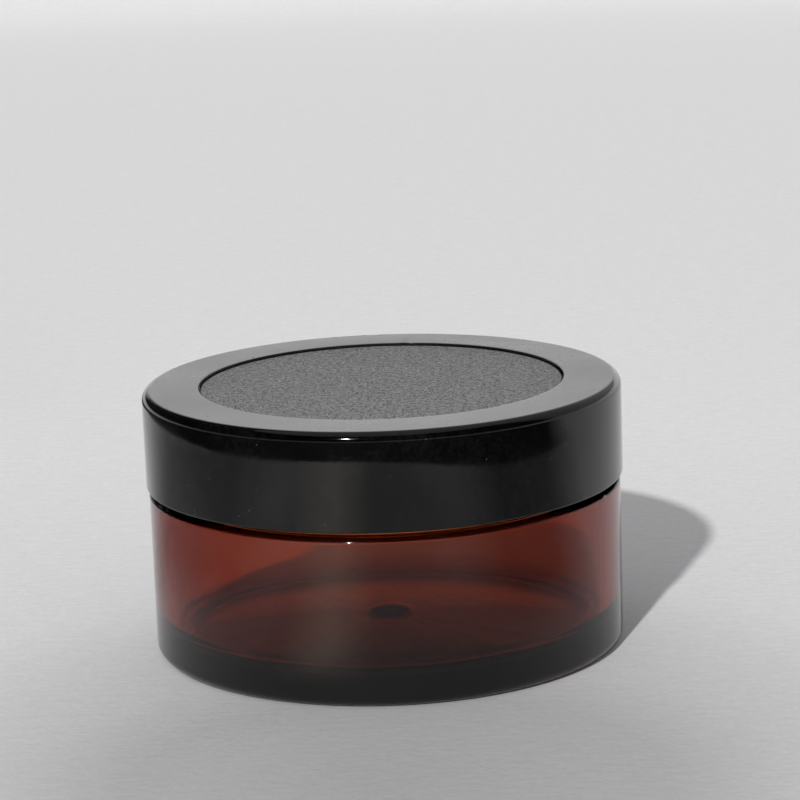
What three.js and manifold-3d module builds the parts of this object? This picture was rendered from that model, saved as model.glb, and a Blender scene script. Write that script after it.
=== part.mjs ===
// Low cosmetic cream jar: clear amber plastic jar, gloss black screw cap with a rough disc in its
// top, foam wad inside the cap and a sealing disc on the mouth.
// Millimetres, +Z up, origin at the centre of the surface the jar stands on.
import * as THREE from 'three';
import { mergeVertices } from 'three/addons/utils/BufferGeometryUtils.js';
import Module from 'manifold-3d';

// ---- driving dimensions -------------------------------------------------------------------
const GAP = 0.3; // clearance between two pieces that touch in the real jar

const JAR_R = 34.6; // outside of the jar wall
const SHOULDER_Z = 24.0; // ledge that the cap closes down to
const INNER_R = 31.4; // inside of the jar wall
const BORE_R = 30.3; // inside of the neck
const SHOULDER_ROOF_Z = 22.8; // where the inside starts to narrow towards the neck
const SHOULDER_ROOF_RISE = 2.4;
const FLOOR_Z = 3.5; // inside floor at its edge
const FLOOR_RISE = 1.2; // floor and underside both rise this much towards the centre
const FLOOR_FILLET = 3.6;
const FOOT_FILLET = 1.8;
const FOOT_RECESS = 0.45; // hollow inside the standing ring
const STAND_RING_R = 30.4;
const GATE_R = 3.2; // gate mark: a well under the base with a low knob over it inside
const GATE_WELL_DEPTH = 1.5;
const GATE_KNOB_HEIGHT = 1.1;
const NECK_R = 31.6; // outside of the neck between the threads
const RIM_Z = 33.7;

const CAP_R = 35.0;
const CAP_BOTTOM_Z = 25.05;
const CAP_TOP_Z = 39.2;
const CAP_EDGE_R = 1.4; // rounding of the top edge
const CAP_BORE_R = 33.3;
const CAP_ROOF_Z = 36.4; // underside of the cap's top
const RECESS_R = 26.7; // round recess in the top
const DISC_R = RECESS_R - GAP;
const DISC_TOP_Z = CAP_TOP_Z - 0.4;
const DISC_THICK = 0.8;

const THREAD_PITCH = 4.2333; // six turns to the inch
const JAR_THREAD_CREST_R = 32.9;
const CAP_THREAD_CREST_R = 31.95;
const THREAD_TURNS = 1.15;
const THREAD_START_ANGLE = 0.4;
const JAR_THREAD_START_Z = 27.3;
const CAP_THREAD_LEAD_ANGLE = 1.75; // the cap's thread starts this far round from the jar's

const WAD_R = 32.7;
const WAD_THICK = 1.0;
const WAD_TOP_Z = CAP_ROOF_Z - GAP;
const WAD_BEAD_R = 32.45; // small ring in the cap that keeps the wad in

const SEAL_R = 31.2;
const SEAL_BOTTOM_Z = RIM_Z + GAP;
const SEAL_THICK = 0.7;
const SEAL_DISH_R = 29.3;
const SEAL_DISH_DEPTH = 2.6;

const ROUND_STEPS = 96; // facets around the axis
const TAU = Math.PI * 2;
// Half a pitch below the jar's thread, so that each runs in the middle of the other's groove.
const CAP_THREAD_START_Z =
  JAR_THREAD_START_Z - THREAD_PITCH / 2 + (THREAD_PITCH * CAP_THREAD_LEAD_ANGLE) / TAU;

// ---- solid helpers ------------------------------------------------------------------------
const wasm = await Module();
wasm.setup();
const { Manifold, Mesh: SolidMesh } = wasm;

// A solid from a closed triangle geometry: seam vertices are joined and collapsed triangles at
// the axis are dropped.
function solidFrom(geometry) {
  const bare = new THREE.BufferGeometry();
  bare.setAttribute('position', geometry.getAttribute('position').clone());
  bare.setIndex(geometry.getIndex().clone());
  const joined = mergeVertices(bare, 1e-4);
  const index = joined.getIndex().array;
  const kept = [];
  for (let i = 0; i < index.length; i += 3) {
    const [a, b, c] = [index[i], index[i + 1], index[i + 2]];
    if (a !== b && b !== c && c !== a) kept.push(a, b, c);
  }
  return new Manifold(new SolidMesh({
    numProp: 3,
    vertProperties: new Float32Array(joined.getAttribute('position').array),
    triVerts: new Uint32Array(kept),
  }));
}

function geometryFrom(solid) {
  const mesh = solid.getMesh();
  const geometry = new THREE.BufferGeometry();
  geometry.setAttribute('position', new THREE.BufferAttribute(new Float32Array(mesh.vertProperties), 3));
  geometry.setIndex(new THREE.BufferAttribute(new Uint32Array(mesh.triVerts), 1));
  geometry.computeVertexNormals();
  return geometry;
}

// Points of a quarter-round in a lathe profile, from one angle (degrees) to another.
function arc(centreR, centreZ, radius, fromDeg, toDeg, steps = 6) {
  const points = [];
  for (let i = 0; i <= steps; i++) {
    const a = THREE.MathUtils.degToRad(fromDeg + ((toDeg - fromDeg) * i) / steps);
    points.push([centreR + radius * Math.cos(a), centreZ + radius * Math.sin(a)]);
  }
  return points;
}

// A turned solid: the profile is a list of [radius, height].
function turned(profile) {
  const points = profile.map(([r, z]) => new THREE.Vector2(Math.max(r, 0), z));
  return solidFrom(new THREE.LatheGeometry(points, ROUND_STEPS).rotateX(Math.PI / 2));
}

// A right-hand helical ridge. rootR lies inside the wall that it grows from, crestR is its top.
// The ridge fades in and out of the wall at its two ends.
function threadRidge({ rootR, crestR, startZ, turns, rootWidth, crestWidth, startAngle }) {
  const steps = Math.round(turns * ROUND_STEPS);
  const fadeSteps = 10;
  const positions = [];
  for (let i = 0; i <= steps; i++) {
    const angle = startAngle + (TAU * i) / ROUND_STEPS;
    const z = startZ + (THREAD_PITCH * i) / ROUND_STEPS;
    const height = Math.min(1, Math.min(i, steps - i) / fadeSteps);
    const r = THREE.MathUtils.lerp(rootR + Math.sign(crestR - rootR) * 0.05, crestR, height);
    const corners = [
      [rootR, z - rootWidth / 2],
      [r, z - crestWidth / 2],
      [r, z + crestWidth / 2],
      [rootR, z + rootWidth / 2],
    ];
    for (const [cr, cz] of corners) positions.push(cr * Math.cos(angle), cr * Math.sin(angle), cz);
  }
  const outward = crestR > rootR;
  const index = [];
  const quad = (a, b, c, d) => {
    if (outward) index.push(a, b, c, a, c, d);
    else index.push(a, c, b, a, d, c);
  };
  for (let i = 0; i < steps; i++) {
    for (let k = 0; k < 4; k++) {
      const next = (k + 1) % 4;
      quad(i * 4 + k, (i + 1) * 4 + k, (i + 1) * 4 + next, i * 4 + next);
    }
  }
  quad(0, 1, 2, 3);
  quad(steps * 4 + 3, steps * 4 + 2, steps * 4 + 1, steps * 4);
  const geometry = new THREE.BufferGeometry();
  geometry.setAttribute('position', new THREE.Float32BufferAttribute(positions, 3));
  geometry.setIndex(index);
  return solidFrom(geometry);
}

// ---- jar body -----------------------------------------------------------------------------
// Gentle rise from the edge of the base to the gate mark.
function dome(edgeR, edgeZ, steps = 7) {
  const points = [];
  for (let i = 0; i <= steps; i++) {
    const r = THREE.MathUtils.lerp(edgeR, GATE_R + 0.3, i / steps);
    points.push([r, edgeZ + FLOOR_RISE * (1 - (r / edgeR) ** 2)]);
  }
  return points;
}

// Smooth narrowing of the inside from the wall to the neck, from the mouth downwards.
function shoulderRoof(steps = 5) {
  const points = [];
  for (let i = 0; i <= steps; i++) {
    const t = i / steps;
    points.push([
      THREE.MathUtils.lerp(BORE_R, INNER_R, 0.5 - 0.5 * Math.cos(Math.PI * t)),
      SHOULDER_ROOF_Z + SHOULDER_ROOF_RISE * (1 - t),
    ]);
  }
  return points;
}

function jarBody() {
  const wellZ = FOOT_RECESS + FLOOR_RISE;
  const knobZ = FLOOR_Z + FLOOR_RISE;
  const gateWell = [];
  const gateKnob = [];
  for (let i = 0; i <= 5; i++) {
    const a = (Math.PI / 2) * (i / 5);
    gateWell.push([GATE_R * Math.sin(a), wellZ + GATE_WELL_DEPTH * Math.cos(a)]);
    gateKnob.push([GATE_R * Math.cos(a), knobZ + GATE_KNOB_HEIGHT * Math.sin(a)]);
  }
  const body = turned([
    ...gateWell,
    ...dome(STAND_RING_R - 0.8, FOOT_RECESS).reverse(),
    [STAND_RING_R, 0],
    ...arc(JAR_R - FOOT_FILLET, FOOT_FILLET, FOOT_FILLET, -90, 0, 7),
    ...arc(JAR_R - 0.3, SHOULDER_Z - 0.3, 0.3, 0, 90, 3),
    [NECK_R + 0.3, SHOULDER_Z],
    [NECK_R, SHOULDER_Z + 0.3],
    [NECK_R, RIM_Z - 0.4],
    [NECK_R - 0.3, RIM_Z],
    [BORE_R + 0.3, RIM_Z],
    [BORE_R, RIM_Z - 0.3],
    ...shoulderRoof(),
    ...arc(INNER_R - FLOOR_FILLET, FLOOR_Z + FLOOR_FILLET, FLOOR_FILLET, 0, -90, 7),
    ...dome(INNER_R - FLOOR_FILLET, FLOOR_Z).slice(1),
    ...gateKnob,
  ]);
  const thread = threadRidge({
    rootR: NECK_R - 0.4,
    crestR: JAR_THREAD_CREST_R,
    startZ: JAR_THREAD_START_Z,
    turns: THREAD_TURNS,
    rootWidth: 2.0,
    crestWidth: 1.0,
    startAngle: THREAD_START_ANGLE,
  });
  // Small parting-line nib on the edge of the ledge.
  const nib = new THREE.BoxGeometry(0.5, 0.35, 0.5).translate(JAR_R - 0.45, 0, SHOULDER_Z + 0.05);
  nib.rotateZ(-0.45);
  return body.add(thread).add(solidFrom(nib));
}

// ---- cap ----------------------------------------------------------------------------------
function capShell() {
  const pocketZ = DISC_TOP_Z - DISC_THICK - GAP;
  const shell = turned([
    [0, CAP_ROOF_Z],
    [CAP_BORE_R - 0.5, CAP_ROOF_Z],
    [CAP_BORE_R, CAP_ROOF_Z - 0.5],
    [CAP_BORE_R, WAD_TOP_Z - WAD_THICK - 0.35],
    [WAD_BEAD_R, WAD_TOP_Z - WAD_THICK - 0.65],
    [WAD_BEAD_R, WAD_TOP_Z - WAD_THICK - 0.8],
    [CAP_BORE_R, WAD_TOP_Z - WAD_THICK - 1.3],
    [CAP_BORE_R, CAP_BOTTOM_Z + 0.6],
    [CAP_BORE_R + 0.4, CAP_BOTTOM_Z],
    ...arc(CAP_R - 0.35, CAP_BOTTOM_Z + 0.35, 0.35, -90, 0, 3),
    ...arc(CAP_R - CAP_EDGE_R, CAP_TOP_Z - CAP_EDGE_R, CAP_EDGE_R, 0, 90, 7),
    [RECESS_R + 0.12, CAP_TOP_Z],
    [RECESS_R, CAP_TOP_Z - 0.12],
    [RECESS_R, pocketZ],
    [0, pocketZ],
  ]);
  const thread = threadRidge({
    rootR: CAP_BORE_R + 0.4,
    crestR: CAP_THREAD_CREST_R,
    startZ: CAP_THREAD_START_Z,
    turns: THREAD_TURNS,
    rootWidth: 1.7,
    crestWidth: 0.7,
    startAngle: THREAD_START_ANGLE + CAP_THREAD_LEAD_ANGLE,
  });
  return shell.add(thread);
}

function capTopDisc() {
  const bottom = DISC_TOP_Z - DISC_THICK;
  return turned([
    [0, bottom],
    [DISC_R - 0.2, bottom],
    [DISC_R, bottom + 0.2],
    [DISC_R, DISC_TOP_Z - 0.15],
    [DISC_R - 0.15, DISC_TOP_Z],
    [0, DISC_TOP_Z],
  ]);
}

function capLiner() {
  const bottom = WAD_TOP_Z - WAD_THICK;
  return turned([
    [0, bottom],
    [WAD_R, bottom],
    [WAD_R, WAD_TOP_Z],
    [0, WAD_TOP_Z],
  ]);
}

// ---- sealing disc -------------------------------------------------------------------------
function sealingDisc() {
  const top = SEAL_BOTTOM_Z + SEAL_THICK;
  const dishFloor = SEAL_BOTTOM_Z - SEAL_DISH_DEPTH;
  const disc = turned([
    [0, dishFloor],
    [SEAL_DISH_R - 0.6, dishFloor],
    [SEAL_DISH_R, dishFloor + 0.6],
    [SEAL_DISH_R, SEAL_BOTTOM_Z],
    [SEAL_R, SEAL_BOTTOM_Z],
    [SEAL_R, top],
    [SEAL_DISH_R - SEAL_THICK, top],
    [SEAL_DISH_R - SEAL_THICK, dishFloor + 0.6 + SEAL_THICK],
    [SEAL_DISH_R - 0.6 - SEAL_THICK, dishFloor + SEAL_THICK],
    [0, dishFloor + SEAL_THICK],
  ]);
  // Bar across the middle of the dish to pull the disc out by.
  const barHeight = SEAL_DISH_DEPTH - 0.3;
  const bar = new THREE.BoxGeometry(16, 1.4, barHeight);
  bar.translate(0, 0, dishFloor + SEAL_THICK / 2 + barHeight / 2);
  return disc.add(solidFrom(bar));
}

// ---- assembly -----------------------------------------------------------------------------
const amber = { color: 0x7a2a12, roughness: 0.08, metalness: 0 };
const black = { color: 0x0b0b0c, roughness: 0.12, metalness: 0 };
const roughBlack = { color: 0x1a1a1b, roughness: 0.75, metalness: 0 };
const foam = { color: 0xe9e7e1, roughness: 0.9, metalness: 0 };
const natural = { color: 0xdfe0dc, roughness: 0.45, metalness: 0 };

const jar = new THREE.Group();
jar.name = 'cream_jar';

function place(name, solid, look) {
  const mesh = new THREE.Mesh(geometryFrom(solid), new THREE.MeshStandardMaterial(look));
  mesh.name = name;
  jar.add(mesh);
}

place('jar_body', jarBody(), amber);
place('sealing_disc', sealingDisc(), natural);
place('cap_liner', capLiner(), foam);
place('cap_shell', capShell(), black);
place('cap_top_disc', capTopDisc(), roughBlack);

export default jar;
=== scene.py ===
"""Cosmetic cream jar: clear amber plastic jar with a gloss black screw cap, which has a rough
textured disc in its top. Under the cap are a foam wad and a loose sealing disc."""

import math

import bmesh
import bpy
from mathutils import Matrix, Vector


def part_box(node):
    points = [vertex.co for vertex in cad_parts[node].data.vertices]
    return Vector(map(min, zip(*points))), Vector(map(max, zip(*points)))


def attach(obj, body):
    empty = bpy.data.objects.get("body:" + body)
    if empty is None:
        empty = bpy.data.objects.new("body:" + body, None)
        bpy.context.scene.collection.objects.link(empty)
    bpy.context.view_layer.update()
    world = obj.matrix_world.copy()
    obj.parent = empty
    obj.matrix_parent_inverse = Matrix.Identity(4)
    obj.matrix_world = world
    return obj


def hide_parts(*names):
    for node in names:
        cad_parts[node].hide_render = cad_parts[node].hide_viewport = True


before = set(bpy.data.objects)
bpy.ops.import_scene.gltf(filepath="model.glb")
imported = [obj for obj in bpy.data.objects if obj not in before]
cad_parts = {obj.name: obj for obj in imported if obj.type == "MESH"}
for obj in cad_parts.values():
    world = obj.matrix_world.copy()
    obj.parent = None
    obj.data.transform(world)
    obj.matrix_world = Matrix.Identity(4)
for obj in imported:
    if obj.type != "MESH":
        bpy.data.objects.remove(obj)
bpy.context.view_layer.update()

MM = 0.001

# ---- sizes, in millimetres, as in the CAD -------------------------------------------------
jar_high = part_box("jar_body")[1]
cap_low, cap_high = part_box("cap_shell")
disc_low, disc_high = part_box("cap_top_disc")
wad_low, wad_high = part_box("cap_liner")
seal_low, seal_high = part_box("sealing_disc")

JAR_R = jar_high[0] / MM
RIM_Z = jar_high[2] / MM
SHOULDER_Z = 24.0
HEEL_R = 1.8  # rounding between the wall and the standing ring
STAND_RING_R = 30.4
FOOT_RECESS = 0.45  # hollow inside the standing ring
INNER_R = 31.4
CORNER_R = 3.6  # rounding between the wall and the floor, inside
FLOOR_Z = 3.5
FLOOR_RISE = 1.2  # how far floor and underside rise towards their centre
GATE_R = 3.2  # round gate mark: a well in the underside and a low knob inside
GATE_WELL_DEPTH = 1.5
GATE_KNOB_HEIGHT = 1.1
NECK_R = 31.6
LEDGE_ROUND = 0.3  # rounding of the ledge's edge, the neck's foot and both edges of the rim
NIB_ANGLE = math.tau - 0.45  # small parting-line nib on the edge of the ledge
NIB_HEIGHT = 0.35
NIB_REACH = 0.1
BORE_R = 30.3
SHOULDER_ROOF_Z = 22.8  # where the inside starts to narrow towards the neck
SHOULDER_ROOF_RISE = 2.4

CAP_R = cap_high[0] / MM
CAP_BOTTOM_Z = cap_low[2] / MM
CAP_TOP_Z = cap_high[2] / MM
CAP_EDGE_R = 1.4
CAP_BORE_R = 33.3
CAP_ROOF_Z = 36.4
CAP_FOOT_ROUND = 0.35  # rounding of the lower edge, outside
CAP_BORE_CHAMFER = 0.4  # chamfer of the lower edge, inside
RECESS_R = 26.7
RECESS_ROUND = 0.12  # rounding of the recess's edge
NICK_ANGLE = 1.44  # tiny nick in the far edge of the recess
NICK_REACH = 0.13
NICK_DEPTH = 0.06
DISC_R = disc_high[0] / MM
DISC_TOP_Z = disc_high[2] / MM
DISC_BOTTOM_Z = disc_low[2] / MM
DISC_EDGE_ROUND = 0.15
POCKET_Z = DISC_BOTTOM_Z - 0.3  # floor of the recess

THREAD_PITCH = 4.2333
THREAD_TURNS = 1.15
THREAD_START_ANGLE = 0.4
THREAD_FADE_ANGLE = 0.6  # over which a thread rises out of the wall at each of its ends
JAR_THREAD_START_Z = 27.3
CAP_THREAD_LEAD_ANGLE = 1.75
CAP_THREAD_START_Z = (
    JAR_THREAD_START_Z - THREAD_PITCH / 2 + THREAD_PITCH * CAP_THREAD_LEAD_ANGLE / math.tau
)
JAR_THREAD_CREST_R = 32.9
CAP_THREAD_CREST_R = 31.95
JAR_RIDGE = (2.0, 1.0)  # width of the jar's thread at its root and at its crest
CAP_RIDGE = (1.7, 0.7)

WAD_R = wad_high[0] / MM
WAD_BEAD_R = 32.45  # small ring in the cap that keeps the wad in
WAD_ROUND = 0.2
SEAL_R = seal_high[0] / MM
SEAL_DISH_R = 29.3
SEAL_THICK = 0.7
BAR_LENGTH, BAR_WIDTH, BAR_ROUND = 16.0, 1.4, 0.2  # bar across the dish, to pull it out by

ROUND_STEPS = 320  # facets around the axis
HIDDEN_ROUND_STEPS = {"wad": 128, "seal": 192}
ONE_STEP = 0.011  # half-width of a nib or nick in radians, which takes in one point of a ring
SHARP_ANGLE = math.radians(38)
THREAD_ROW_STEP = 0.16  # height between the rows of points that follow a thread


# ---- mesh helpers -------------------------------------------------------------------------
def arc(centre_r, centre_z, radius, from_deg, to_deg, steps=8):
    """Points of a round in a turned profile."""
    points = []
    for i in range(steps + 1):
        a = math.radians(from_deg + (to_deg - from_deg) * i / steps)
        points.append((centre_r + radius * math.cos(a), centre_z + radius * math.sin(a)))
    return points


def wall(r_from, z_from, r_to, z_to, step=THREAD_ROW_STEP):
    """Closely spaced points along a straight wall, to carry a thread."""
    count = max(2, round(abs(z_to - z_from) / step))
    return [
        (r_from + (r_to - r_from) * i / count, z_from + (z_to - z_from) * i / count)
        for i in range(count + 1)
    ]


def thread_height(angle, z, start_angle, start_z, ridge):
    """How far up its flank a helical ridge is at this place, from 0 (wall) to 1 (crest)."""
    root_width, crest_width = ridge
    length = THREAD_TURNS * math.tau
    best = 0.0
    for turn in range(3):
        along = (angle - start_angle) % math.tau + turn * math.tau
        if along > length:
            break
        off = abs(z - (start_z + THREAD_PITCH * along / math.tau))
        flank = (root_width / 2 - off) / ((root_width - crest_width) / 2)
        fade = min(1.0, along / THREAD_FADE_ANGLE, (length - along) / THREAD_FADE_ANGLE)
        best = max(best, min(1.0, max(0.0, flank)) * fade)
    return best


def in_scene(name, data):
    """A new object in the scene."""
    made = bpy.data.objects.new(name, data)
    bpy.context.scene.collection.objects.link(made)
    return made


def turned(name, profile, reshape=None, steps=ROUND_STEPS):
    """A closed turned mesh. profile runs from the axis to the axis, as (radius, height) in mm.
    reshape(angle, radius, height) may move a point, and returns its radius and height."""
    mesh = bpy.data.meshes.new(name)
    bm = bmesh.new()
    rings = []
    for r, z in profile:
        if r < 1e-6:
            rings.append([bm.verts.new((0, 0, z * MM))])
            continue
        ring = []
        for i in range(steps):
            a = math.tau * i / steps
            rr, zz = reshape(a, r, z) if reshape else (r, z)
            ring.append(bm.verts.new((rr * math.cos(a) * MM, rr * math.sin(a) * MM, zz * MM)))
        rings.append(ring)
    for lower, upper in zip(rings, rings[1:]):
        for i in range(steps):
            j = (i + 1) % steps
            if len(lower) == 1:
                bm.faces.new((lower[0], upper[j], upper[i]))
            elif len(upper) == 1:
                bm.faces.new((lower[i], lower[j], upper[0]))
            else:
                bm.faces.new((lower[i], lower[j], upper[j], upper[i]))
    bm.normal_update()
    bm.to_mesh(mesh)
    bm.free()
    mesh.shade_smooth()
    mesh.set_sharp_from_angle(angle=SHARP_ANGLE)
    return in_scene(name, mesh)


def stand_in_for(piece, node, body, material):
    piece.data.materials.append(material)
    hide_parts(node)
    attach(piece, body)


# ---- material helpers ---------------------------------------------------------------------
class Nodes:
    """Short names for building one node material."""

    def __init__(self, name):
        self.material = bpy.data.materials.new(name)
        self.material.use_nodes = True
        self.tree = self.material.node_tree
        self.tree.nodes.clear()
        self.output = self.tree.nodes.new("ShaderNodeOutputMaterial")
        self.shader = self.tree.nodes.new("ShaderNodeBsdfPrincipled")
        self.link(self.shader.outputs["BSDF"], self.output.inputs["Surface"])
        self.place = self.tree.nodes.new("ShaderNodeTexCoord").outputs["Object"]

    def link(self, source, target):
        self.tree.links.new(source, target)

    def set(self, **values):
        for key, value in values.items():
            self.shader.inputs[key.replace("_", " ")].default_value = value

    def math(self, operation, *values):
        node = self.tree.nodes.new("ShaderNodeMath")
        node.operation = operation
        for socket, value in zip(node.inputs, values):
            if isinstance(value, (int, float)):
                socket.default_value = value
            else:
                self.link(value, socket)
        return node.outputs[0]

    def noise(self, scale, detail=2.0, roughness=0.5, place=None):
        node = self.tree.nodes.new("ShaderNodeTexNoise")
        node.inputs["Scale"].default_value = scale
        node.inputs["Detail"].default_value = detail
        node.inputs["Roughness"].default_value = roughness
        self.link(place or self.place, node.inputs["Vector"])
        return node.outputs["Fac"]

    def cells(self, scale):
        node = self.tree.nodes.new("ShaderNodeTexVoronoi")
        node.inputs["Scale"].default_value = scale
        self.link(self.place, node.inputs["Vector"])
        return node.outputs["Distance"]

    def ramp(self, value, *stops):
        """stops are (position, colour) pairs."""
        node = self.tree.nodes.new("ShaderNodeValToRGB")
        elements = node.color_ramp.elements
        while len(elements) < len(stops):
            elements.new(0.5)
        for element, (position, colour) in zip(elements, stops):
            element.position = position
            element.color = (*colour, 1.0)
        self.link(value, node.inputs["Fac"])
        return node.outputs["Color"]

    def map(self, value, from_min, from_max, to_min, to_max):
        """Straight-line change of range, held at both ends."""
        node = self.tree.nodes.new("ShaderNodeMapRange")
        node.inputs["From Min"].default_value = from_min
        node.inputs["From Max"].default_value = from_max
        node.inputs["To Min"].default_value = to_min
        node.inputs["To Max"].default_value = to_max
        self.link(value, node.inputs["Value"])
        return node.outputs["Result"]

    def mix(self, factor, a, b, blend="MIX"):
        """Mix of two colours, each a socket or a plain colour. factor is a socket or a number."""
        node = self.tree.nodes.new("ShaderNodeMix")
        node.data_type, node.blend_type = "RGBA", blend
        for index, value in ((0, factor), (6, a), (7, b)):
            if isinstance(value, float):
                node.inputs[index].default_value = value
            elif isinstance(value, tuple):
                node.inputs[index].default_value = (*value, 1.0)
            else:
                self.link(value, node.inputs[index])
        return node.outputs[2]

    def axis(self, name):
        """X, Y or Z of a place on the piece, in metres."""
        node = self.tree.nodes.new("ShaderNodeSeparateXYZ")
        self.link(self.place, node.inputs[0])
        return node.outputs[name]

    def radius(self):
        """Distance from the jar's axis, in metres."""
        x, y = self.axis("X"), self.axis("Y")
        return self.math("SQRT", self.math("ADD", self.math("POWER", x, 2.0),
                                           self.math("POWER", y, 2.0)))

    def bump(self, height, distance, normal=None):
        """Normal of a rough surface, on top of another bump's normal if one is given."""
        node = self.tree.nodes.new("ShaderNodeBump")
        node.inputs["Strength"].default_value = 1.0
        node.inputs["Distance"].default_value = distance
        self.link(height, node.inputs["Height"])
        if normal is not None:
            self.link(normal, node.inputs["Normal"])
        return node.outputs["Normal"]

    def stretched(self, x, y, z):
        """Places for a texture, with its scale multiplied on each axis."""
        node = self.tree.nodes.new("ShaderNodeMapping")
        node.inputs["Scale"].default_value = (x, y, z)
        self.link(self.place, node.inputs["Vector"])
        return node.outputs["Vector"]


MOULD_RING_STEP = 0.6  # mm between the turning marks on the base


def amber_plastic():
    m = Nodes("amber_plastic")
    m.set(Transmission_Weight=1.0, IOR=1.5, Metallic=0.0)
    m.set(Roughness=0.045, Coat_Weight=0.02, Coat_Roughness=0.38)
    haze = m.noise(160, 3.0)
    m.link(m.ramp(haze, (0.35, (1.0, 0.97, 0.95)), (0.75, (0.93, 0.89, 0.86))),
           m.shader.inputs["Base Color"])
    # Turning marks of the mould on the floor and the underside.
    rings = m.math("SINE", m.math("MULTIPLY", m.radius(), math.tau / (MOULD_RING_STEP * MM)))
    flat_zone = m.math("LESS_THAN", m.axis("Z"), (FLOOR_Z + FLOOR_RISE + 0.2) * MM)
    rings = m.math("MULTIPLY", rings, flat_zone)
    inner_zone = m.math("LESS_THAN", m.radius(), (STAND_RING_R - 2.0) * MM)
    rings = m.math("MULTIPLY", rings, inner_zone)
    flow = m.noise(90, 2.0, place=m.stretched(1.0, 1.0, 0.35))
    normal = m.bump(rings, 0.004 * MM)
    m.link(m.bump(flow, 0.05 * MM, normal=normal), m.shader.inputs["Normal"])
    absorb = m.tree.nodes.new("ShaderNodeVolumeAbsorption")
    absorb.inputs["Color"].default_value = (0.755, 0.355, 0.012, 1.0)
    absorb.inputs["Density"].default_value = 800.0
    m.link(absorb.outputs["Volume"], m.output.inputs["Volume"])
    return m.material


def black_gloss():
    m = Nodes("black_gloss")
    m.set(IOR=1.5, Specular_IOR_Level=0.42, Coat_Roughness=0.45)
    # The flat top is duller than the side, from handling and dust, and its grey colour is painted
    # sheen, standing in for the reflection of the bright backdrop.
    top_zone = m.map(m.axis("Z"), (CAP_TOP_Z - 0.08) * MM, (CAP_TOP_Z - 0.015) * MM, 0.0, 1.0)
    smear = m.noise(70, 4.0, 0.6)
    scuff = m.noise(900, 3.0, 0.6, place=m.stretched(0.12, 1.0, 1.0))
    scuff = m.map(scuff, 0.62, 0.72, 0.0, 1.0)
    m.link(m.map(smear, 0.45, 0.7, 0.0, 0.07), m.shader.inputs["Coat Weight"])
    side = m.map(smear, 0.3, 0.7, 0.03, 0.09)
    top = m.map(smear, 0.3, 0.7, 0.24, 0.34)
    rough = m.math("ADD", m.math("MULTIPLY", side, m.math("SUBTRACT", 1.0, top_zone)),
                   m.math("MULTIPLY", top, top_zone))
    rough = m.math("ADD", rough, m.math("MULTIPLY", scuff, 0.06))
    m.link(rough, m.shader.inputs["Roughness"])
    dust = m.map(m.cells(420), 0.0, 0.06, 1.0, 0.0)
    # The painted grey sheen on the top is a little lighter towards the front.
    painted_top_sheen = m.ramp(m.map(m.axis("Y"), -0.034, 0.034, 0.0, 1.0),
                  (0.0, (0.285, 0.281, 0.275)), (0.3, (0.22, 0.218, 0.214)),
                  (1.0, (0.185, 0.183, 0.179)))
    # Faint clouds of handling marks on the side.
    cloud = m.math("ADD", m.math("MULTIPLY", m.noise(75, 5.0, 0.7), 0.6),
                   m.math("MULTIPLY", m.noise(1700, 2.0), 0.4))
    marks = m.ramp(cloud, (0.48, (0.0004, 0.0004, 0.0007)), (0.72, (0.0055, 0.0055, 0.0055)))
    base = m.mix(top_zone, marks, painted_top_sheen)
    m.link(m.mix(m.math("MULTIPLY", dust, 0.25), base, (0.35, 0.34, 0.33)),
           m.shader.inputs["Base Color"])
    peel = m.noise(420, 2.0)
    grain = m.noise(4200, 2.0)
    normal = m.bump(peel, 0.0025 * MM)
    top_grain = m.math("MULTIPLY", grain, top_zone)
    m.link(m.bump(top_grain, 0.012 * MM, normal=normal), m.shader.inputs["Normal"])
    return m.material


def rough_black():
    m = Nodes("black_textured")
    m.set(IOR=1.5)
    grain = m.noise(3300, 3.0, 0.75)
    coarse = m.noise(1500, 2.0)
    height = m.math("ADD", grain, m.math("MULTIPLY", coarse, 0.35))
    # The colour follows the grain's height: painted light on the peaks and painted shade in the
    # hollows.
    m.link(m.ramp(height, (0.565, (0.03, 0.03, 0.03)), (0.79, (0.37, 0.37, 0.365))),
           m.shader.inputs["Base Color"])
    m.link(m.map(grain, 0.3, 0.7, 0.5, 0.75), m.shader.inputs["Roughness"])
    m.link(m.bump(height, 0.22 * MM), m.shader.inputs["Normal"])
    return m.material


def white_foam():
    m = Nodes("white_foam")
    m.set(Roughness=0.9)
    pores = m.cells(2600)
    # The pores are painted darker than the foam round them: painted shade in the pits that the same
    # cells give the bump.
    m.link(m.ramp(pores, (0.1, (0.72, 0.71, 0.68)), (0.5, (0.88, 0.87, 0.85))),
           m.shader.inputs["Base Color"])
    m.link(m.bump(pores, 0.05 * MM), m.shader.inputs["Normal"])
    return m.material


def natural_plastic():
    m = Nodes("natural_plastic")
    m.set(Subsurface_Weight=0.25, Subsurface_Scale=1.0 * MM)
    cloud = m.noise(120, 3.0)
    m.link(m.ramp(cloud, (0.3, (0.80, 0.81, 0.79)), (0.7, (0.87, 0.88, 0.86))),
           m.shader.inputs["Base Color"])
    m.link(m.map(m.noise(600, 2.0), 0.3, 0.7, 0.32, 0.48), m.shader.inputs["Roughness"])
    m.link(m.bump(m.noise(2400, 2.0), 0.01 * MM), m.shader.inputs["Normal"])
    return m.material


# ---- jar body -----------------------------------------------------------------------------
def dome(edge_r, edge_z):
    """Gentle rise from the edge of the base to the gate mark."""
    steps = 14
    radii = [edge_r + (GATE_R + 0.3 - edge_r) * i / steps for i in range(steps + 1)]
    return [(r, edge_z + FLOOR_RISE * (1 - (r / edge_r) ** 2)) for r in radii]


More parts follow.
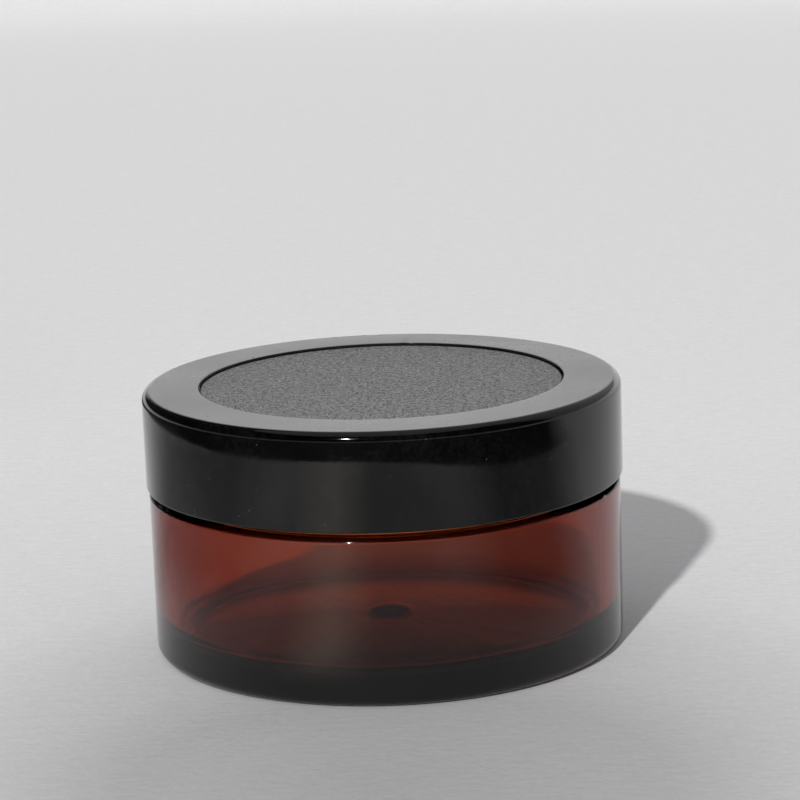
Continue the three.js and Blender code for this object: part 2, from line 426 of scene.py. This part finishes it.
def jar_profile():
    """From the well of the gate mark, out and up round the jar, to the knob over the well. The rings
    just beside the ledge keep the nib small."""
    floor_r = INNER_R - CORNER_R
    eighths = [math.pi / 2 * i / 8 for i in range(9)]
    well_z = FOOT_RECESS + FLOOR_RISE
    well = [(GATE_R * math.sin(a), well_z + GATE_WELL_DEPTH * math.cos(a)) for a in eighths]
    knob_z = FLOOR_Z + FLOOR_RISE
    knob = [(GATE_R * math.cos(a), knob_z + GATE_KNOB_HEIGHT * math.sin(a)) for a in eighths]
    roof = [
        (BORE_R + (INNER_R - BORE_R) * (0.5 - 0.5 * math.cos(math.pi * i / 10)),
         SHOULDER_ROOF_Z + SHOULDER_ROOF_RISE * (1 - i / 10))
        for i in range(11)
    ]
    return [
        *well,
        *reversed(dome(STAND_RING_R - 0.8, FOOT_RECESS)),
        (STAND_RING_R, 0.0),
        *arc(JAR_R - HEEL_R, HEEL_R, HEEL_R, -90, 0, 12),
        (JAR_R, SHOULDER_Z - 0.6),
        *arc(JAR_R - LEDGE_ROUND, SHOULDER_Z - LEDGE_ROUND, LEDGE_ROUND, 0, 90, 6),
        (JAR_R - 0.7, SHOULDER_Z),
        *arc(NECK_R + LEDGE_ROUND, SHOULDER_Z + LEDGE_ROUND, LEDGE_ROUND, -90, -180, 4),
        *wall(NECK_R, SHOULDER_Z + 0.5, NECK_R, RIM_Z - 0.5),
        *arc(NECK_R - LEDGE_ROUND, RIM_Z - LEDGE_ROUND, LEDGE_ROUND, 0, 90, 4),
        *arc(BORE_R + LEDGE_ROUND, RIM_Z - LEDGE_ROUND, LEDGE_ROUND, 90, 180, 4),
        *roof,
        *arc(floor_r, FLOOR_Z + CORNER_R, CORNER_R, 0, -90, 16),
        *dome(floor_r, FLOOR_Z)[1:],
        *knob,
    ]


def jar_shape(angle, r, z):
    """The jar's thread, and the nib on its ledge."""
    if abs(r - NECK_R) < 0.05 and SHOULDER_Z + 0.5 <= z <= RIM_Z - 0.4:
        up = thread_height(angle, z, THREAD_START_ANGLE, JAR_THREAD_START_Z, JAR_RIDGE)
        return r + (JAR_THREAD_CREST_R - NECK_R) * up, z
    on_edge = r > JAR_R - 0.35 and SHOULDER_Z - 0.2 < z
    if on_edge and abs(angle - NIB_ANGLE) < ONE_STEP:
        return r + NIB_REACH, z + NIB_HEIGHT
    return r, z


# ---- cap ----------------------------------------------------------------------------------
def cap_profile():
    """From the middle of the roof, down inside past the wad's bead, up outside, to the recess. The
    ring just outside the recess keeps the nick small."""
    wad_bottom = wad_low[2] / MM
    return [
        (0.0, CAP_ROOF_Z),
        *arc(CAP_BORE_R - 0.5, CAP_ROOF_Z - 0.5, 0.5, 90, 0, 4),
        (CAP_BORE_R, wad_bottom - 0.35),
        (WAD_BEAD_R, wad_bottom - 0.65),
        (WAD_BEAD_R, wad_bottom - 0.8),
        *wall(CAP_BORE_R, wad_bottom - 1.3, CAP_BORE_R, CAP_BOTTOM_Z + CAP_BORE_CHAMFER),
        (CAP_BORE_R + CAP_BORE_CHAMFER, CAP_BOTTOM_Z),
        *arc(CAP_R - CAP_FOOT_ROUND, CAP_BOTTOM_Z + CAP_FOOT_ROUND, CAP_FOOT_ROUND, -90, 0, 6),
        *arc(CAP_R - CAP_EDGE_R, CAP_TOP_Z - CAP_EDGE_R, CAP_EDGE_R, 0, 90, 12),
        (RECESS_R + 0.5, CAP_TOP_Z),
        *arc(RECESS_R + RECESS_ROUND, CAP_TOP_Z - RECESS_ROUND, RECESS_ROUND, 90, 180, 3),
        (RECESS_R, POCKET_Z),
        (0.0, POCKET_Z),
    ]


def cap_shape(angle, r, z):
    """The cap's thread, and the nick in the edge of its recess."""
    if abs(r - CAP_BORE_R) < 0.01 and z < 33.6:
        start_angle = THREAD_START_ANGLE + CAP_THREAD_LEAD_ANGLE
        up = thread_height(angle, z, start_angle, CAP_THREAD_START_Z, CAP_RIDGE)
        return r - (CAP_BORE_R - CAP_THREAD_CREST_R) * up, z
    on_recess_edge = abs(r - RECESS_R) < 0.2 and z > CAP_TOP_Z - 0.13
    if on_recess_edge and abs(angle - NICK_ANGLE) < ONE_STEP:
        return r + NICK_REACH, z - NICK_DEPTH
    return r, z


def disc_profile():
    return [
        (0.0, DISC_BOTTOM_Z),
        (DISC_R - 0.2, DISC_BOTTOM_Z),
        (DISC_R, DISC_BOTTOM_Z + 0.2),
        *arc(DISC_R - DISC_EDGE_ROUND, DISC_TOP_Z - DISC_EDGE_ROUND, DISC_EDGE_ROUND, 0, 90, 4),
        (0.0, DISC_TOP_Z),
    ]


def wad_profile():
    low, high = wad_low[2] / MM, wad_high[2] / MM
    return [
        (0.0, low),
        *arc(WAD_R - WAD_ROUND, low + WAD_ROUND, WAD_ROUND, -90, 0, 4),
        *arc(WAD_R - WAD_ROUND, high - WAD_ROUND, WAD_ROUND, 0, 90, 4),
        (0.0, high),
    ]


def seal_profile():
    dish_floor, top = seal_low[2] / MM, seal_high[2] / MM
    flange = top - SEAL_THICK
    inner = SEAL_DISH_R - SEAL_THICK
    return [
        (0.0, dish_floor),
        *arc(SEAL_DISH_R - 0.8, dish_floor + 0.8, 0.8, -90, 0, 6),
        (SEAL_DISH_R, flange),
        *arc(SEAL_R - 0.15, flange + 0.15, 0.15, -90, 0, 3),
        *arc(SEAL_R - 0.15, top - 0.15, 0.15, 0, 90, 3),
        *arc(inner + 0.2, top - 0.2, 0.2, 90, 180, 3),
        *arc(inner - 0.5, dish_floor + SEAL_THICK + 0.5, 0.5, 0, -90, 4),
        (0.0, dish_floor + SEAL_THICK),
    ]


def add_pull_bar(piece):
    """Bar across the middle of the dish, to pull the disc out by."""
    floor = seal_low[2] / MM + SEAL_THICK / 2
    height = seal_high[2] / MM - seal_low[2] / MM - SEAL_THICK - 0.3
    bm = bmesh.new()
    bm.from_mesh(piece.data)
    size = Matrix.Diagonal((BAR_LENGTH * MM, BAR_WIDTH * MM, height * MM, 1.0))
    place = Matrix.Translation((0, 0, (floor + height / 2) * MM))
    corners = bmesh.ops.create_cube(bm, size=1.0, matrix=place @ size)["verts"]
    edges = {e for v in corners for e in v.link_edges}
    bmesh.ops.bevel(bm, geom=list(edges), offset=BAR_ROUND * MM, segments=2, affect="EDGES")
    bm.to_mesh(piece.data)
    bm.free()
    piece.data.set_sharp_from_angle(angle=SHARP_ANGLE)


jar = turned("jar_body_look", jar_profile(), jar_shape)
stand_in_for(jar, "jar_body", "jar", amber_plastic())
cap = turned("cap_shell_look", cap_profile(), cap_shape)
stand_in_for(cap, "cap_shell", "cap", black_gloss())
disc = turned("cap_top_disc_look", disc_profile())
stand_in_for(disc, "cap_top_disc", "cap", rough_black())
wad = turned("cap_liner_look", wad_profile(), steps=HIDDEN_ROUND_STEPS["wad"])
stand_in_for(wad, "cap_liner", "wad", white_foam())
seal = turned("sealing_disc_look", seal_profile(), steps=HIDDEN_ROUND_STEPS["seal"])
add_pull_bar(seal)
stand_in_for(seal, "sealing_disc", "seal", natural_plastic())

# ---- stage --------------------------------------------------------------------------------
# A flat sheet that curves up at its edge, in metres.
STAGE_R, SWEEP_R, SWEEP_HEIGHT = 1.0, 0.3, 0.34
STAGE_RINGS, SWEEP_RINGS, STAGE_STEPS = 10, 16, 96


def paper_material():
    m = Nodes("pale_paper")
    m.set(Roughness=0.9)
    speck = m.noise(900, 3.0)
    # Painted shade: the sheet is a little darker in front of the jar, as if a shadow lay there, and
    # lighter all round it.
    along = m.math("ADD", m.axis("Y"), 0.065)
    along = m.math("MULTIPLY", along, m.map(along, -0.001, 0.001, 0.25, 1.0))
    across = m.math("POWER", m.axis("X"), 2.0)
    reach = m.math("SQRT", m.math("ADD", across, m.math("POWER", along, 2.0)))
    tone = m.ramp(
        reach,
        (0.0, (0.415, 0.412, 0.415)), (0.035, (0.46, 0.457, 0.46)), (0.052, (0.59, 0.585, 0.59)),
        (0.092, (0.76, 0.75, 0.755)), (0.2, (0.79, 0.783, 0.783)), (1.0, (0.73, 0.725, 0.725)),
    )
    fibre = m.noise(700, 4.0, 0.65, place=m.stretched(0.3, 1.0, 1.0))
    cloth = m.math("ADD", m.math("MULTIPLY", speck, 0.5), m.math("MULTIPLY", fibre, 0.5))
    fleck = m.ramp(cloth, (0.35, (0.94, 0.94, 0.94)), (0.62, (1.03, 1.03, 1.03)))
    m.link(m.mix(1.0, tone, fleck, blend="MULTIPLY"), m.shader.inputs["Base Color"])
    m.link(m.bump(cloth, 0.12 * MM), m.shader.inputs["Normal"])
    return m.material


def stage_floor():
    rows = [(0.0, 0.0)] + [(STAGE_R * i / STAGE_RINGS, 0.0) for i in range(1, STAGE_RINGS + 1)]
    for i in range(1, SWEEP_RINGS + 1):
        a = math.pi / 2 * i / SWEEP_RINGS
        rows.append((STAGE_R + SWEEP_R * math.sin(a), SWEEP_R * (1 - math.cos(a))))
    rows.append((STAGE_R + SWEEP_R, SWEEP_HEIGHT))
    mesh = bpy.data.meshes.new("floor")
    bm = bmesh.new()
    steps = STAGE_STEPS
    turns = [math.tau * i / steps for i in range(steps)]
    rings = [
        [bm.verts.new((r * math.cos(a), r * math.sin(a), z)) for a in turns]
        if r
        else [bm.verts.new((0, 0, z))]
        for r, z in rows
    ]
    for lower, upper in zip(rings, rings[1:]):
        for i in range(steps):
            j = (i + 1) % steps
            if len(lower) == 1:
                bm.faces.new((lower[0], upper[i], upper[j]))
            else:
                bm.faces.new((lower[i], upper[i], upper[j], lower[j]))
    bm.to_mesh(mesh)
    bm.free()
    mesh.shade_smooth()
    floor = in_scene("floor", mesh)
    floor.data.materials.append(paper_material())


stage_floor()

CARD_STEPS = 48


# Soft-edged cards lying on the table round the front of the jar. They show only in reflections and
# are painted reflections: the dark card and its upright screen are painted shade that gives the
# cap's side its dark band, the left and right cards paint its duller left and right, and the glowing
# glare card is a painted streak of glare.
def card(name, tone, glow, height, turn, turn_soft, reach, reach_soft, screen=None,
         tint=(1.0, 1.0, 1.0)):
    """turn is a range of degrees from the front towards +X. reach is a range of distances from the
    axis in mm, and the near one can be a row of distances, spread evenly over the turn. The edges
    fade over turn_soft and reach_soft. glow is a little light of the card's own. screen is the range
    of heights of an upright sheet that stands at the far edge."""
    m = Nodes(name)
    m.set(Roughness=0.9, Emission_Strength=glow, Emission_Color=(*tint, 1.0))
    darker, lighter = (tuple(tone * change * t for t in tint) for change in (0.9, 1.1))
    m.link(m.ramp(m.noise(60, 2.0), (0.3, darker), (0.7, lighter)), m.shader.inputs["Base Color"])
    angle = m.math("ARCTAN2", m.axis("X"), m.math("MULTIPLY", m.axis("Y"), -1.0))
    soft = math.radians(turn_soft)
    start, end = (math.radians(t) for t in turn)
    mask = m.math("MULTIPLY", m.map(angle, start, start + soft, 0.0, 1.0),
                  m.map(angle, end - soft, end, 1.0, 0.0))
    near, far = reach[0] * MM, reach[-1] * MM
    if reach_soft:
        mask = m.math("MULTIPLY", mask, m.map(m.radius(), near, near + reach_soft * MM, 0.0, 1.0))
        mask = m.math("MULTIPLY", mask, m.map(m.radius(), far - reach_soft * MM, far, 1.0, 0.0))
    m.link(mask, m.shader.inputs["Alpha"])
    mesh = bpy.data.meshes.new(name)
    bm = bmesh.new()
    pairs = []
    near_edge = reach[:-1] if len(reach) > 2 else (reach[0], reach[0])
    for i in range(CARD_STEPS + 1):
        a = start + (end - start) * i / CARD_STEPS
        at = (len(near_edge) - 1) * i / CARD_STEPS
        k = min(int(at), len(near_edge) - 2)
        near_r = near_edge[k] + (near_edge[k + 1] - near_edge[k]) * (at - k)
        pairs.append([
            bm.verts.new((r * math.sin(a) * MM, -r * math.cos(a) * MM, height * MM))
            for r in (near_r, reach[-1])
        ])
    for (near_a, far_a), (near_b, far_b) in zip(pairs, pairs[1:]):
        bm.faces.new((near_a, far_a, far_b, near_b))
        if screen:
            bm.faces.new([
                bm.verts.new((v.co.x, v.co.y, z * MM))
                for v, z in zip((far_a, far_a, far_b, far_b), (*screen, *reversed(screen)))
            ])
    bm.to_mesh(mesh)
    bm.free()
    sheet = in_scene(name, mesh)
    mesh.materials.append(m.material)
    sheet.visible_camera = False
    sheet.visible_diffuse = False
    sheet.visible_transmission = False
    sheet.visible_shadow = False


# Near edge of the dark card every 15 degrees, from the back left round to the right.
DARK_CARD_EDGE = (
    190, 190, 190, 190, 190, 188, 186, 186, 188, 192, 194, 192, 184, 171, 163, 159, 163, 174,
)
card("dark_card", 0.012, 0.0, 1.2, (-166, 89), 12, (*DARK_CARD_EDGE, 420), 0,
     screen=(75, 700))
card("left_card", 0.38, 0.0, 0.6, (-135, -45), 22, (45, 215), 40)
card("right_card", 0.2, 0.0, 0.6, (26, 95), 22, (48, 212), 34)
card("glare_card", 0.9, 0.2, 0.9, (-38, -6), 14, (40, 215), 12, tint=(1.0, 0.92, 0.82))

# ---- light --------------------------------------------------------------------------------
KEY_AZIMUTH, KEY_ELEVATION = math.radians(19), math.radians(33)  # azimuth to the left of front
KEY_ENERGY, KEY_WIDTH = 2.7, math.radians(2.0)
ROOM_COLOUR, ROOM_STRENGTH = (0.97, 0.98, 1.0, 1.0), 0.42

key_data = bpy.data.lights.new("key", "SUN")
key_data.energy = KEY_ENERGY
key_data.angle = KEY_WIDTH
key = in_scene("key", key_data)
key_from = Vector((
    -math.sin(KEY_AZIMUTH) * math.cos(KEY_ELEVATION),
    -math.cos(KEY_AZIMUTH) * math.cos(KEY_ELEVATION),
    math.sin(KEY_ELEVATION),
))
key.rotation_mode = "QUATERNION"
key.rotation_quaternion = key_from.to_track_quat("Z", "Y")

world = bpy.data.worlds.new("soft_room")
world.use_nodes = True
background = world.node_tree.nodes["Background"]
background.inputs["Color"].default_value = ROOM_COLOUR
background.inputs["Strength"].default_value = ROOM_STRENGTH
bpy.context.scene.world = world

# ---- camera -------------------------------------------------------------------------------
CAMERA_DISTANCE = 453.9 * MM  # from the middle of the jar's foot
CAMERA_ELEVATION = 0.2929  # radians
CAMERA_ROLL = -0.0364  # radians
LOOK_AT = Vector((2.66, 0.0, 35.93)) * MM
SENSOR_WIDTH, LENS = 36.0, 136.7

camera_data = bpy.data.cameras.new("camera")
camera_data.sensor_width = SENSOR_WIDTH
camera_data.lens = LENS
camera_data.clip_start = 0.01
camera = in_scene("camera", camera_data)
camera.location = (
    0.0,
    -CAMERA_DISTANCE * math.cos(CAMERA_ELEVATION),
    CAMERA_DISTANCE * math.sin(CAMERA_ELEVATION),
)
forward = (LOOK_AT - camera.location).normalized()
right = forward.cross(Vector((0, 0, 1))).normalized()
up = right.cross(forward)
tilt_right = right * math.cos(CAMERA_ROLL) + up * math.sin(CAMERA_ROLL)
tilt_up = up * math.cos(CAMERA_ROLL) - right * math.sin(CAMERA_ROLL)
camera.rotation_mode = "QUATERNION"
camera.rotation_quaternion = Matrix((tilt_right, tilt_up, -forward)).transposed().to_quaternion()
bpy.context.scene.camera = camera
bpy.context.scene.view_settings.view_transform = "Standard"
